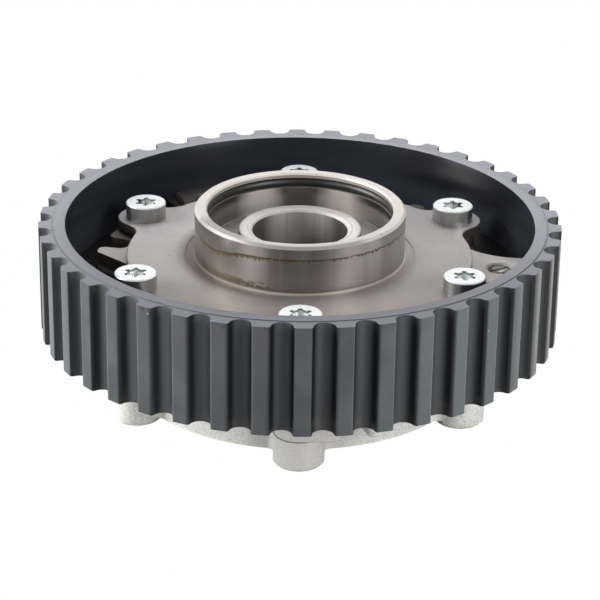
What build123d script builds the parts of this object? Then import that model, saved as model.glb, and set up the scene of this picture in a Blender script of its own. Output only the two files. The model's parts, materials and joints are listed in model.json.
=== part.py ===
from build123d import *
import math
import os

# Vane cam phaser with a belt pulley. Millimetres, +Z along the axis towards the camshaft.
# The origin is on the axis, in the plane of the front cover's six boss feet.

# Rotor, from the bore outwards
ROTOR_BORE_RADIUS = 11.53
ROTOR_BORE_CHAMFER = 0.65
HUB_RING_WALL = 3.3
HUB_RING_HEIGHT = 4.25
HUB_RING_CHAMFER = 0.3
JOURNAL_STEP = 7.62
JOURNAL_GAP = 0.05
JOURNAL_ABOVE_COVER = 2.2
JOURNAL_CHAMFER = 0.4
HUB_SHOULDER = 3.55
ROTOR_AXIAL_GAP = 0.05
BOLT_SEAT_WIDTH = 4.97
BOLT_SEAT_DEPTH = 4.0
VANE_TIP_GAP = 0.15
NARROW_VANE_ANGLE = 20.0
WORKING_ANGLE = 25.0
STOP_GAP_ANGLE = 0.4
OIL_HOLE_RADIUS = 1.25
OIL_HOLE_FROM_VANE = 4.0
ADVANCE_OIL_ABOVE_SEAT = 2.5
RETARD_OIL_BELOW_TOP = 6.2

# Lock pin with its spring, seat and stepped insert
PIN_NOSE_RADIUS = 3.5
PIN_STEP = 0.7
PIN_BORE_GAP = 0.05
PIN_BORE_WALL = 0.925
PIN_ENGAGEMENT = 3.3
PIN_STROKE = 3.6
PIN_TOP_GAP = 1.4
PIN_NOSE_LENGTH = 7.8
PIN_NOSE_CHAMFER = 0.5
PIN_HOLLOW_WALL = 1.5
PIN_HOLLOW_DEPTH = 8.0
PIN_SHOULDER_GAP = 0.05
SPRING_WIRE_RADIUS = 0.35
SPRING_SIDE_GAP = 0.25
SPRING_TURNS = 6
SEAT_THICKNESS = 2.0
SEAT_VENT_RADIUS = 1.2
INSERT_SIDE_WALL = 1.9
INSERT_FLOOR = 1.15
INSERT_FIT_GAP = 0.02
LOCK_SIDE_GAP = 0.25
LOCK_FLOOR_GAP = 0.15
LOCK_STEPS = 5

# Seals of vanes and shoes
SEAL_WIDTH = 2.0
SEAL_HEIGHT = 2.2
SEAL_SIDE_GAP = 0.02
SEAL_RUNNING_GAP = 0.05
SEAL_END_GAP = 0.05
SEAL_FROM_VANE_SIDE = 5.1
LEAF_ROOM = 0.8
LEAF_THICKNESS = 0.2
LEAF_WIDTH = 1.5
LEAF_END_GAP = 2.0
LEAF_SEAT_GAP = 0.02

# Stator
STATOR_HEIGHT = 23.75
BODY_WALL = 5.5
CHAMBER_COUNT = 4
CHAMBER_ANGLE = 60.0
CHAMBER_START = 15.0
SHOE_TIP_GAP = 0.15
STATOR_EAR_RADIUS = 5.8
STAR_DROP = 0.9

# Hook teeth on every second ear, with angles past the ear
HOOK_FIRST_EAR = 30.0
HOOK_EAR_INSET = 0.05
HOOK_ROOT_DEPTH = 2.0
SMALL_TOOTH_END = 11.3
BAY_FLOOR_HEIGHT = 1.65
BAY_START = 11.8
BAY_END = 18.9
HOOK_START = 18.95
HOOK_END = 22.64
HOOK_SLOPE_END = 34.6
HOOK_ROUNDING = 1.5
BAY_ROUNDING = 1.9

# Lobes that carry the pulley
LOBE_COUNT = 3
LOBE_ANGLE = -1.4
LOBE_WIDTH = 12.6
LOBE_THICKNESS = 4.5
LOBE_ROOT_FILLET = 17.0
LOBE_FIT_GAP = 0.05
LOBE_SIDE_GAP = 0.3

# Seal rings between the stator and its covers, and the dowels
FACE_SEAL_WIDTH = 1.6
FACE_SEAL_HEIGHT = 1.3
FACE_SEAL_SIDE_GAP = 0.1
DOWEL_RADIUS = 2.0
DOWEL_WALL = 1.85
DOWEL_LENGTH = 11.0
DOWEL_IN_COVER = 3.5
DOWEL_GAP = 0.02

# Cover screws and the circle that they stand on
SCREW_COUNT = 6
SCREW_FIRST_ANGLE = 30.0
SCREWS_OUTSIDE_BODY = 2.5
SCREW_THREAD_RADIUS = 3.0
SCREW_THREAD_GAP = 0.03
SCREW_HOLE_GAP = 0.3
SCREW_HEAD_RADIUS = 5.0
SCREW_HEAD_HEIGHT = 3.9
SCREW_HEAD_EDGE = 0.25
SCREW_END_HEIGHT = 3.55
SCREW_TIP_CHAMFER = 0.8
SOCKET_OUTER_RADIUS = 2.8
SOCKET_INNER_RADIUS = 1.98
SOCKET_LOBE_RADIUS = 0.6
SOCKET_DEPTH = 2.2

# Pulley screws
PULLEY_SCREWS_OUTSIDE_BODY = 6.95
PULLEY_SCREW_SINK = 0.3
PULLEY_SCREW_SLOT_WIDTH = 0.8
PULLEY_SCREW_SLOT_DEPTH = 1.0
PULLEY_SCREW_SLOT_ANGLE = 25.0
HOLE_MOUTH_CHAMFER = 0.6

# Rear cover with its collar
COVER_THICKNESS = 2.2
COVER_EAR_RADIUS = 7.0
COVER_EAR_FILLET = 6.0
COVER_EDGE_BREAK = 0.2
COLLAR_HEIGHT = 11.8
COLLAR_OUTER_CHAMFER = 0.6
COLLAR_INNER_CHAMFER = 0.4
RELIEF_WIDTH = 2.4
RELIEF_DEPTH = 0.25
O_RING_SECTION = 2.4
O_RING_BELOW_COLLAR_TOP = 2.45
O_RING_STAND_OUT = 0.35
O_RING_GROOVE_GAP = 0.08
O_RING_WALL = 0.95

# Front cover
INSERT_TO_COVER_FACE = 1.5
BOSS_RADIUS = 6.0
BOSS_DROP = 1.5
BOSS_FILLET = 2.0
BOSS_EDGE_BREAK = 0.5
PLUG_OUTSIDE_BOLT_SEAT = 2.5
PLUG_HEAD_RIM = 3.5
PLUG_HEAD_THICKNESS = 2.2
PLUG_INSET = 0.5
PLUG_WALL = 2.0
PLUG_DISH_DEPTH = 1.0
PLUG_HEAD_GAP = 0.3
PLUG_THREAD_GAP = 0.03
PLUG_SOCKET_SCALE = 2.6
PLUG_SEAL_SECTION = 1.4

# Belt pulley
BELT_PITCH = 9.525
PITCH_LINE_OFFSET = 0.686
TOOTH_DEPTH = 3.12
GROOVE_RADIUS = 2.5
LAND_WIDTH = 3.65
TOOTH_PHASE = 0.5
FACE_WIDTH = 26.7
RIM_WALL = 3.2
RIM_HEAD_ROOM = 2.65
RIM_EDGE_BREAK = 0.1
RIM_STEP = 0.15
RIM_STEP_WIDTH = 2.95
RIM_ABOVE_COVER = 8.85
WEB_THICKNESS = 6.0
WEB_FILLET = 1.5
WEB_GAP = 0.5
PAD_WIDTH = 18.0
PAD_HEIGHT = 3.25
PAD_FROM_BODY = 6.0
PAD_ROUNDING = 1.5

# Radii worked out from the sizes above, from the bore to the teeth
HUB_RING_RADIUS = ROTOR_BORE_RADIUS + HUB_RING_WALL
JOURNAL_RADIUS = HUB_RING_RADIUS + JOURNAL_STEP
COLLAR_BORE_RADIUS = JOURNAL_RADIUS + JOURNAL_GAP
COLLAR_RADIUS = COLLAR_BORE_RADIUS + O_RING_SECTION - O_RING_STAND_OUT + O_RING_WALL
RELIEF_RADIUS = COLLAR_RADIUS + RELIEF_WIDTH
BOLT_SEAT_RADIUS = ROTOR_BORE_RADIUS + BOLT_SEAT_WIDTH
PLUG_THREAD_RADIUS = BOLT_SEAT_RADIUS + PLUG_OUTSIDE_BOLT_SEAT
PLUG_HEAD_RADIUS = PLUG_THREAD_RADIUS + PLUG_HEAD_RIM
ROTOR_HUB_RADIUS = JOURNAL_RADIUS + HUB_SHOULDER
SHOE_TIP_RADIUS = ROTOR_HUB_RADIUS + SHOE_TIP_GAP
PIN_HEAD_RADIUS = PIN_NOSE_RADIUS + PIN_STEP
PIN_HOLLOW_RADIUS = PIN_HEAD_RADIUS - PIN_HOLLOW_WALL
SPRING_MEAN_RADIUS = PIN_HOLLOW_RADIUS - SPRING_SIDE_GAP - SPRING_WIRE_RADIUS
PIN_CIRCLE_RADIUS = ROTOR_HUB_RADIUS + PIN_BORE_WALL + PIN_BORE_GAP + PIN_HEAD_RADIUS
VANE_TIP_RADIUS = PIN_CIRCLE_RADIUS + PIN_HEAD_RADIUS + PIN_BORE_GAP + PIN_BORE_WALL
CHAMBER_RADIUS = VANE_TIP_RADIUS + VANE_TIP_GAP
BODY_RADIUS = CHAMBER_RADIUS + BODY_WALL
FACE_SEAL_RADIUS = (CHAMBER_RADIUS + BODY_RADIUS) / 2
SEAL_GROOVE_DEPTH = SEAL_HEIGHT + LEAF_ROOM
DOWEL_CIRCLE_RADIUS = SHOE_TIP_RADIUS + SEAL_GROOVE_DEPTH + DOWEL_WALL + DOWEL_RADIUS
SCREW_HOLE_RADIUS = SCREW_THREAD_RADIUS + SCREW_HOLE_GAP
SCREW_CIRCLE_RADIUS = BODY_RADIUS + SCREWS_OUTSIDE_BODY
HOOK_RADIUS = SCREW_CIRCLE_RADIUS + STATOR_EAR_RADIUS - HOOK_EAR_INSET
BAY_RADIUS = BODY_RADIUS + BAY_FLOOR_HEIGHT
PULLEY_SCREW_CIRCLE_RADIUS = BODY_RADIUS + PULLEY_SCREWS_OUTSIDE_BODY
RIM_BORE_RADIUS = PULLEY_SCREW_CIRCLE_RADIUS + SCREW_HEAD_RADIUS + RIM_HEAD_ROOM
RIM_STEP_RADIUS = RIM_BORE_RADIUS + RIM_STEP_WIDTH

# A cam pulley has twice the teeth of its crank pulley, and room for the rim inside them
SMALLEST_PITCH_RADIUS = RIM_BORE_RADIUS + RIM_WALL + TOOTH_DEPTH + PITCH_LINE_OFFSET
CRANK_TOOTH_COUNT = math.ceil(math.pi * SMALLEST_PITCH_RADIUS / BELT_PITCH)
TOOTH_COUNT = 2 * CRANK_TOOTH_COUNT
TIP_RADIUS = TOOTH_COUNT * BELT_PITCH / math.tau - PITCH_LINE_OFFSET
ROOT_RADIUS = TIP_RADIUS - TOOTH_DEPTH

# Heights worked out from the sizes above
COVER_FACE = BOSS_DROP
INSERT_THICKNESS = PIN_ENGAGEMENT + LOCK_FLOOR_GAP + INSERT_FLOOR
FRONT_COVER_THICKNESS = INSERT_THICKNESS + INSERT_TO_COVER_FACE
STATOR_BOTTOM = COVER_FACE + FRONT_COVER_THICKNESS
STATOR_TOP = STATOR_BOTTOM + STATOR_HEIGHT
STAR_TOP = STATOR_TOP - STAR_DROP
PLATE_TOP = STATOR_TOP + COVER_THICKNESS
COLLAR_TOP = PLATE_TOP + COLLAR_HEIGHT
PULLEY_TOP = PLATE_TOP + RIM_ABOVE_COVER
PULLEY_BOTTOM = PULLEY_TOP - FACE_WIDTH
WEB_TOP = STAR_TOP - LOBE_THICKNESS
WEB_BOTTOM = WEB_TOP - WEB_THICKNESS
PAD_TOP = WEB_TOP + PAD_HEIGHT
ROTOR_BOTTOM = STATOR_BOTTOM + ROTOR_AXIAL_GAP
ROTOR_TOP = STATOR_TOP - ROTOR_AXIAL_GAP
BOLT_SEAT_TOP = ROTOR_BOTTOM + BOLT_SEAT_DEPTH
ADVANCE_OIL_HEIGHT = BOLT_SEAT_TOP + ADVANCE_OIL_ABOVE_SEAT
RETARD_OIL_HEIGHT = ROTOR_TOP - RETARD_OIL_BELOW_TOP
JOURNAL_TOP = PLATE_TOP + JOURNAL_ABOVE_COVER
HUB_TOP = JOURNAL_TOP + HUB_RING_HEIGHT
SEAT_BOTTOM = ROTOR_TOP - SEAT_THICKNESS
PIN_TIP = STATOR_BOTTOM - PIN_ENGAGEMENT
PIN_SHOULDER = PIN_TIP + PIN_NOSE_LENGTH
PIN_TOP = SEAT_BOTTOM - PIN_TOP_GAP - PIN_STROKE
PIN_HOLLOW_FLOOR = PIN_TOP - PIN_HOLLOW_DEPTH
PLUG_SEAT = COVER_FACE + PLUG_HEAD_THICKNESS
PLUG_TOP = STATOR_BOTTOM - PLUG_INSET
SCREW_LENGTH = PLATE_TOP - SCREW_END_HEIGHT
PULLEY_SCREW_LENGTH = WEB_THICKNESS + LOBE_THICKNESS - PULLEY_SCREW_SINK

# Angles worked out from the sizes above
CHAMBER_PITCH = 360 / CHAMBER_COUNT
WIDE_VANE_ANGLE = CHAMBER_ANGLE - WORKING_ANGLE - 2 * STOP_GAP_ANGLE
VANE_REST = CHAMBER_START + STOP_GAP_ANGLE + WIDE_VANE_ANGLE / 2
SHOE_MIDDLE = CHAMBER_START - (CHAMBER_PITCH - CHAMBER_ANGLE) / 2


def polar(radius, degrees):
    angle = math.radians(degrees)
    return (radius * math.cos(angle), radius * math.sin(angle))


def around(count, start=0.0):
    return [start + 360 * i / count for i in range(count)]


def slab(sketch, low, high):
    return Pos(0, 0, low) * extrude(sketch, high - low)


def turned(*points):
    profile = make_face(Polyline(*points, close=True))
    return revolve(Plane.XZ * profile, Axis.Z)


def dots(radius, circle_radius, angles):
    return [Pos(*polar(circle_radius, a)) * Circle(radius) for a in angles]


def sector(inner, outer, start, end):
    middle = (start + end) / 2
    arc_out = ThreePointArc(polar(outer, start), polar(outer, middle), polar(outer, end))
    arc_in = ThreePointArc(polar(inner, end), polar(inner, middle), polar(inner, start))
    side_a = Line(polar(outer, end), polar(inner, end))
    side_b = Line(polar(inner, start), polar(outer, start))
    return make_face([arc_out, side_a, arc_in, side_b])


def export(solid, node):
    solid.label = node
    export_step(solid, f"parts/{node}.step")


# The six ears stand on one circle in both covers and the stator
EAR_ANGLES = around(SCREW_COUNT, SCREW_FIRST_ANGLE)
LOBE_ANGLES = around(LOBE_COUNT, LOBE_ANGLE)
SHOE_ANGLES = around(CHAMBER_COUNT, SHOE_MIDDLE)
VANE_ANGLES = around(CHAMBER_COUNT, VANE_REST)


def eared_disc(ear_radius, fillet_radius):
    outline = Circle(BODY_RADIUS) + dots(ear_radius, SCREW_CIRCLE_RADIUS, EAR_ANGLES)
    return fillet(outline.vertices(), fillet_radius)


# Belt pulley: round-bottomed belt grooves, a thin rim and a web shaped to the stator

def tooth_outline():
    pitch = 360 / TOOTH_COUNT
    land = math.degrees(LAND_WIDTH / TIP_RADIUS) / 2
    groove_centre = ROOT_RADIUS + GROOVE_RADIUS
    edges = []
    for middle in around(TOOTH_COUNT, 90 + TOOTH_PHASE):
        land_start = polar(TIP_RADIUS, middle - land)
        land_end = polar(TIP_RADIUS, middle + land)
        next_land = polar(TIP_RADIUS, middle + pitch - land)
        groove = Rot(0, 0, middle + pitch / 2)
        side_a = (groove * Pos(groove_centre, -GROOVE_RADIUS, 0)).position
        side_b = (groove * Pos(groove_centre, GROOVE_RADIUS, 0)).position
        floor = polar(ROOT_RADIUS, middle + pitch / 2)
        edges.append(ThreePointArc(land_start, polar(TIP_RADIUS, middle), land_end))
        edges.append(Line(land_end, side_a))
        edges.append(ThreePointArc(side_a, floor, side_b))
        edges.append(Line(side_b, next_land))
    return make_face(edges)


def lobe_pads():
    # Pads on the web, each with a pocket that one of the stator's lobes sits in
    inner = BODY_RADIUS + PAD_FROM_BODY
    length = TIP_RADIUS - inner
    pad = Pos(inner + length / 2, 0) * RectangleRounded(length, PAD_WIDTH, PAD_ROUNDING)
    return Sketch() + [Rot(0, 0, a) * pad for a in LOBE_ANGLES] - offset(lobe_outline(), LOBE_SIDE_GAP)


def belt_pulley():
    body = slab(tooth_outline(), PULLEY_BOTTOM, PULLEY_TOP - RIM_STEP)
    body += slab(Circle(RIM_STEP_RADIUS), PULLEY_TOP - RIM_STEP, PULLEY_TOP)
    upper_bore = turned(
        (0, PAD_TOP),
        (RIM_BORE_RADIUS, PAD_TOP),
        (RIM_BORE_RADIUS, PULLEY_TOP - RIM_EDGE_BREAK),
        (RIM_BORE_RADIUS + RIM_EDGE_BREAK, PULLEY_TOP),
        (0, PULLEY_TOP),
    )
    lower_bore = turned(
        (0, WEB_BOTTOM),
        (RIM_BORE_RADIUS - WEB_FILLET, WEB_BOTTOM),
        (RIM_BORE_RADIUS, WEB_BOTTOM - WEB_FILLET),
        (RIM_BORE_RADIUS, PULLEY_BOTTOM + RIM_EDGE_BREAK),
        (RIM_BORE_RADIUS + RIM_EDGE_BREAK, PULLEY_BOTTOM),
        (0, PULLEY_BOTTOM),
    )
    web_hole = offset(stator_outline(), WEB_GAP)
    web_holes = web_hole + dots(SCREW_HOLE_RADIUS, PULLEY_SCREW_CIRCLE_RADIUS, LOBE_ANGLES)
    beside_pads = slab(Circle(RIM_BORE_RADIUS) - lobe_pads(), WEB_TOP, PAD_TOP)
    return body - upper_bore - beside_pads - lower_bore - slab(web_holes, WEB_BOTTOM, WEB_TOP)


# Stator: outer shape with ears and hook teeth, chambers inside, lobes that carry the pulley

def eared_body():
    return Circle(BODY_RADIUS) + dots(STATOR_EAR_RADIUS, SCREW_CIRCLE_RADIUS, EAR_ANGLES)


def hook_tooth_pair():
    # Past an ear at angle zero: the small tooth that leaves the ear, a bay, the hook and its slope
    inside = BODY_RADIUS - HOOK_ROOT_DEPTH
    tooth_start = polar(HOOK_RADIUS, 0)
    tooth_middle = polar(HOOK_RADIUS, SMALL_TOOTH_END / 2)
    tips = [polar(HOOK_RADIUS, a) for a in (SMALL_TOOTH_END, HOOK_START, HOOK_END)]
    bay = [polar(BAY_RADIUS, BAY_START), polar(BAY_RADIUS, BAY_END)]
    feet = [polar(inside, HOOK_SLOPE_END), polar(inside, 0)]
    sides = Polyline(tips[0], *bay, *tips[1:], *feet, tooth_start)
    pair = make_face([ThreePointArc(tooth_start, tooth_middle, tips[0]), *sides.edges()])
    for corner in tips:
        pair = fillet(pair.vertices().sort_by_distance(corner)[0], HOOK_ROUNDING)
    for corner in bay:
        pair = fillet(pair.vertices().sort_by_distance(corner)[0], BAY_ROUNDING)
    return pair


def stator_outline():
    hook_pairs = [Rot(0, 0, a) * hook_tooth_pair() for a in around(LOBE_COUNT, HOOK_FIRST_EAR)]
    return eared_body() + hook_pairs


def lobe_outline():
    reach = RIM_BORE_RADIUS - LOBE_FIT_GAP
    bars = [Rot(0, 0, a) * Pos(reach / 2, 0) * Rectangle(reach, LOBE_WIDTH) for a in LOBE_ANGLES]
    outline = Circle(BODY_RADIUS) + bars
    roots = outline.vertices().sort_by_distance((0, 0))[: 2 * LOBE_COUNT]
    return fillet(roots, LOBE_ROOT_FILLET) & Circle(reach)


def stator():
    body = slab(eared_body(), STATOR_BOTTOM, STATOR_TOP)
    body += slab(stator_outline(), STATOR_BOTTOM, STAR_TOP)
    body += slab(lobe_outline(), WEB_TOP, STAR_TOP)
    cavity = Circle(SHOE_TIP_RADIUS)
    for start in around(CHAMBER_COUNT, CHAMBER_START):
        cavity += sector(SHOE_TIP_RADIUS / 2, CHAMBER_RADIUS, start, start + CHAMBER_ANGLE)
    groove = SEAL_WIDTH + 2 * SEAL_SIDE_GAP
    seal_room = SEAL_GROOVE_DEPTH + SHOE_TIP_RADIUS
    for angle in SHOE_ANGLES:
        cavity += Rot(0, 0, angle) * Pos(seal_room / 2, 0) * Rectangle(seal_room, groove)
    body -= slab(cavity, STATOR_BOTTOM, STATOR_TOP)
    screw_holes = dots(SCREW_HOLE_RADIUS, SCREW_CIRCLE_RADIUS, EAR_ANGLES)
    body -= slab(Sketch() + screw_holes, STATOR_BOTTOM, STATOR_TOP)
    thread = SCREW_THREAD_RADIUS + SCREW_THREAD_GAP
    for angle in LOBE_ANGLES:
        place = Pos(*polar(PULLEY_SCREW_CIRCLE_RADIUS, angle))
        hole = turned(
            (0, WEB_TOP),
            (thread, WEB_TOP),
            (thread, STAR_TOP - HOLE_MOUTH_CHAMFER),
            (thread + HOLE_MOUTH_CHAMFER, STAR_TOP),
            (0, STAR_TOP),
        )
        body -= place * hole
    body -= slab(seal_ring_sketch(FACE_SEAL_SIDE_GAP), STATOR_BOTTOM, STATOR_BOTTOM + FACE_SEAL_HEIGHT)
    body -= slab(seal_ring_sketch(FACE_SEAL_SIDE_GAP), STATOR_TOP - FACE_SEAL_HEIGHT, STATOR_TOP)
    return body - dowel_holes()


def seal_ring_sketch(gap):
    reach = FACE_SEAL_WIDTH / 2 + gap
    return Circle(FACE_SEAL_RADIUS + reach) - Circle(FACE_SEAL_RADIUS - reach)


# Rear cover: eared plate and collar turned from one piece

def rear_cover():
    plate = slab(eared_disc(COVER_EAR_RADIUS, COVER_EAR_FILLET), STATOR_TOP, PLATE_TOP)
    top_rim = plate.edges().group_by(Axis.Z)[-1]
    plate = chamfer(top_rim, COVER_EDGE_BREAK)
    plate -= slab(Circle(RELIEF_RADIUS), PLATE_TOP - RELIEF_DEPTH, PLATE_TOP)
    collar = slab(Circle(COLLAR_RADIUS), STATOR_TOP, COLLAR_TOP)
    collar = chamfer(collar.edges().group_by(Axis.Z)[-1], COLLAR_OUTER_CHAMFER)
    bore = turned(
        (0, STATOR_TOP),
        (COLLAR_BORE_RADIUS, STATOR_TOP),
        (COLLAR_BORE_RADIUS, COLLAR_TOP - COLLAR_INNER_CHAMFER),
        (COLLAR_BORE_RADIUS + COLLAR_INNER_CHAMFER, COLLAR_TOP),
        (0, COLLAR_TOP),
    )
    half_groove = O_RING_SECTION / 2 + O_RING_GROOVE_GAP
    o_ring_height = COLLAR_TOP - O_RING_BELOW_COLLAR_TOP
    groove_floor = COLLAR_BORE_RADIUS + O_RING_SECTION - O_RING_STAND_OUT
    groove = slab(Circle(groove_floor), o_ring_height - half_groove, o_ring_height + half_groove)
    holes = Sketch() + dots(SCREW_HOLE_RADIUS, SCREW_CIRCLE_RADIUS, EAR_ANGLES)
    return plate + collar - bore - groove - slab(holes, STATOR_TOP, PLATE_TOP)


def collar_o_ring():
    section_centre = COLLAR_BORE_RADIUS - O_RING_STAND_OUT + O_RING_SECTION / 2
    section = Pos(section_centre, COLLAR_TOP - O_RING_BELOW_COLLAR_TOP) * Circle(O_RING_SECTION / 2)
    return revolve(Plane.XZ * section, Axis.Z)


# Front cover: cast disc with six bosses, a plugged opening and the pocket of the lock insert

def front_cover():
    body = slab(eared_disc(BOSS_RADIUS, BOSS_FILLET), COVER_FACE, STATOR_BOTTOM)
    for angle in EAR_ANGLES:
        boss = slab(Circle(BOSS_RADIUS), 0, STATOR_BOTTOM)
        boss = chamfer(boss.edges().group_by(Axis.Z)[0], BOSS_EDGE_BREAK)
        body += Pos(*polar(SCREW_CIRCLE_RADIUS, angle)) * boss
    holes = Sketch() + dots(SCREW_THREAD_RADIUS + SCREW_THREAD_GAP, SCREW_CIRCLE_RADIUS, EAR_ANGLES)
    body -= slab(holes, 0, STATOR_BOTTOM)
    body -= slab(Circle(PLUG_HEAD_RADIUS + PLUG_HEAD_GAP), COVER_FACE, PLUG_SEAT)
    body -= slab(Circle(PLUG_THREAD_RADIUS + PLUG_THREAD_GAP), PLUG_SEAT, STATOR_BOTTOM)
    body -= slab(Circle(PLUG_THREAD_RADIUS + PLUG_SEAL_SECTION), PLUG_SEAT, PLUG_SEAT + PLUG_SEAL_SECTION)
    body -= slab(insert_outline(INSERT_FIT_GAP), STATOR_BOTTOM - INSERT_THICKNESS, STATOR_BOTTOM)
    return body - dowel_holes()


def centre_plug():
    body = turned(
        (0, COVER_FACE),
        (PLUG_HEAD_RADIUS, COVER_FACE),
        (PLUG_HEAD_RADIUS, PLUG_SEAT),
        (PLUG_THREAD_RADIUS, PLUG_SEAT),
        (PLUG_THREAD_RADIUS, PLUG_TOP),
        (PLUG_THREAD_RADIUS - PLUG_WALL, PLUG_TOP),
        (PLUG_THREAD_RADIUS - PLUG_WALL, PLUG_TOP - PLUG_DISH_DEPTH),
        (0, PLUG_TOP - PLUG_DISH_DEPTH),
    )
    return body - slab(star_socket(PLUG_SOCKET_SCALE), COVER_FACE, PLUG_SEAT)


def plug_seal_ring():
    section = Circle(PLUG_THREAD_RADIUS + PLUG_SEAL_SECTION) - Circle(PLUG_THREAD_RADIUS)
    return slab(section, PLUG_SEAT, PLUG_SEAT + PLUG_SEAL_SECTION)


# Fasteners

def star_socket(scale=1.0):
    lobe_circle = (SOCKET_OUTER_RADIUS - SOCKET_LOBE_RADIUS) * scale
    return Circle(SOCKET_INNER_RADIUS * scale) + dots(SOCKET_LOBE_RADIUS * scale, lobe_circle, around(6))


def low_head_screw(length):
    # Head on top, its bearing face at height zero, thread pointing down
    tip = SCREW_THREAD_RADIUS - SCREW_TIP_CHAMFER
    body = turned(
        (0, -length),
        (tip, -length),
        (SCREW_THREAD_RADIUS, SCREW_TIP_CHAMFER - length),
        (SCREW_THREAD_RADIUS, 0),
        (SCREW_HEAD_RADIUS, 0),
        (SCREW_HEAD_RADIUS, SCREW_HEAD_HEIGHT - SCREW_HEAD_EDGE),
        (SCREW_HEAD_RADIUS - SCREW_HEAD_EDGE, SCREW_HEAD_HEIGHT),
        (0, SCREW_HEAD_HEIGHT),
    )
    return body - slab(star_socket(), SCREW_HEAD_HEIGHT - SOCKET_DEPTH, SCREW_HEAD_HEIGHT)


def cover_screws():
    screw = low_head_screw(SCREW_LENGTH)
    places = [Pos(*polar(SCREW_CIRCLE_RADIUS, a), PLATE_TOP) * Rot(0, 0, a) for a in EAR_ANGLES]
    return Compound([place * screw for place in places])


def pulley_screws():
    slot_top = PULLEY_SCREW_SLOT_DEPTH - PULLEY_SCREW_LENGTH
    slot = Pos(0, 0, slot_top) * Box(
        2 * SCREW_THREAD_RADIUS,
        PULLEY_SCREW_SLOT_WIDTH,
        PULLEY_SCREW_SLOT_DEPTH,
        align=(Align.CENTER, Align.CENTER, Align.MAX),
    )
    screw = Rot(180, 0, 0) * (low_head_screw(PULLEY_SCREW_LENGTH) - slot)
    turned_screw = Rot(0, 0, PULLEY_SCREW_SLOT_ANGLE) * screw
    places = [Pos(*polar(PULLEY_SCREW_CIRCLE_RADIUS, a), WEB_BOTTOM) for a in LOBE_ANGLES]
    return Compound([place * turned_screw for place in places])


def dowel_sketch(gap):
    return Sketch() + dots(DOWEL_RADIUS + gap, DOWEL_CIRCLE_RADIUS, [SHOE_ANGLES[1], SHOE_ANGLES[3]])


def dowel_holes():
    bottom = STATOR_BOTTOM - DOWEL_IN_COVER
    return slab(dowel_sketch(DOWEL_GAP), bottom, bottom + DOWEL_LENGTH)


def stator_dowels():
    bottom = STATOR_BOTTOM - DOWEL_IN_COVER
    return Compound(slab(dowel_sketch(0), bottom, bottom + DOWEL_LENGTH).solids())


# Rotor: hub with one wide vane for the lock pin and narrow vanes in the other chambers

def vane_seal_angle(index):
    beside_pin = WIDE_VANE_ANGLE / 2 - SEAL_FROM_VANE_SIDE
    return VANE_ANGLES[index] + (beside_pin if index == 0 else 0)


def vane_width(index):
    return WIDE_VANE_ANGLE if index == 0 else NARROW_VANE_ANGLE


def oil_hole(angle, height):
    reach = (ROTOR_BORE_RADIUS + VANE_TIP_RADIUS) / 2
    drill = Plane.YZ * Circle(OIL_HOLE_RADIUS)
    return Pos(0, 0, height) * Rot(0, 0, angle) * extrude(drill, reach)


def rotor():
    outline = Circle(ROTOR_HUB_RADIUS)
    for index, angle in enumerate(VANE_ANGLES):
        half = vane_width(index) / 2
        outline += sector(ROTOR_HUB_RADIUS / 2, VANE_TIP_RADIUS, angle - half, angle + half)
    groove = SEAL_WIDTH + 2 * SEAL_SIDE_GAP
    for index in range(CHAMBER_COUNT):
        slot = Pos(VANE_TIP_RADIUS - SEAL_GROOVE_DEPTH, 0) * Rectangle(
            2 * SEAL_GROOVE_DEPTH, groove, align=(Align.MIN, Align.CENTER)
        )
        outline -= Rot(0, 0, vane_seal_angle(index)) * slot
    body = slab(outline, ROTOR_BOTTOM, ROTOR_TOP)
    body += turned(
        (0, ROTOR_TOP),
        (JOURNAL_RADIUS, ROTOR_TOP),
        (JOURNAL_RADIUS, JOURNAL_TOP - JOURNAL_CHAMFER),
        (JOURNAL_RADIUS - JOURNAL_CHAMFER, JOURNAL_TOP),
        (HUB_RING_RADIUS, JOURNAL_TOP),
        (HUB_RING_RADIUS, HUB_TOP - HUB_RING_CHAMFER),
        (HUB_RING_RADIUS - HUB_RING_CHAMFER, HUB_TOP),
        (0, HUB_TOP),
    )
    body -= turned(
        (0, ROTOR_BOTTOM),
        (BOLT_SEAT_RADIUS, ROTOR_BOTTOM),
        (BOLT_SEAT_RADIUS, BOLT_SEAT_TOP),
        (ROTOR_BORE_RADIUS, BOLT_SEAT_TOP),
        (ROTOR_BORE_RADIUS, HUB_TOP - ROTOR_BORE_CHAMFER),
        (ROTOR_BORE_RADIUS + ROTOR_BORE_CHAMFER, HUB_TOP),
        (0, HUB_TOP),
    )
    for index, angle in enumerate(VANE_ANGLES):
        beside = vane_width(index) / 2 + OIL_HOLE_FROM_VANE
        body -= oil_hole(angle - beside, ADVANCE_OIL_HEIGHT)
        body -= oil_hole(angle + beside, RETARD_OIL_HEIGHT)
    return body - pin_bore()


# Seals: a block pressed outwards by a bowed leaf spring in the floor of its groove

def seal_block(radius_low, angle):
    length = ROTOR_TOP - ROTOR_BOTTOM - 2 * SEAL_END_GAP
    block = Box(SEAL_HEIGHT, SEAL_WIDTH, length, align=(Align.MIN, Align.CENTER, Align.MIN))
    return Rot(0, 0, angle) * Pos(radius_low, 0, ROTOR_BOTTOM + SEAL_END_GAP) * block


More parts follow.
